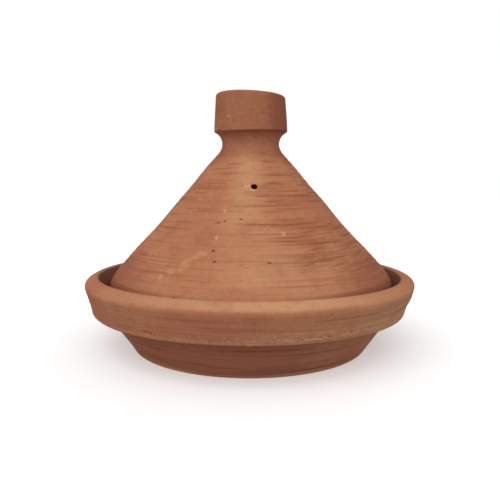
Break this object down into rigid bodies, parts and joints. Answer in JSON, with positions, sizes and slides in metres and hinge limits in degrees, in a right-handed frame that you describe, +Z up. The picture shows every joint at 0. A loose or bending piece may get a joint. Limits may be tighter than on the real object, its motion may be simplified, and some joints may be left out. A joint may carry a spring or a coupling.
{
  "type": "tagine pot",
  "caption": "Unglazed clay tagine: a shallow round dish with a thick stepped rim, and a lift-off conical lid with a cup-shaped knob and a steam vent.",
  "frame": {"origin": "centre of the dish's foot, on the surface that it stands on", "axes": "+Z up along the axis of both thrown pieces; the steam vent faces the front, -Y, turned 3 degrees towards +X as the lid lies"},
  "size_m": [0.3, 0.3, 0.2289],
  "materials": {
    "dish_clay": "matte unglazed terracotta, darker and redder than the lid",
    "lid_clay": "matte unglazed terracotta with fine throwing lines"
  },
  "bodies": {
    "dish": {"base_dish": "dish_clay"},
    "lid": {"conical_lid": "lid_clay"}
  },
  "joints": [
    {"name": "lid_lift", "type": "slide", "parent": "dish", "child": "lid", "axis": [0, 0, 1], "range_m": [0, 0.15]}
  ]
}
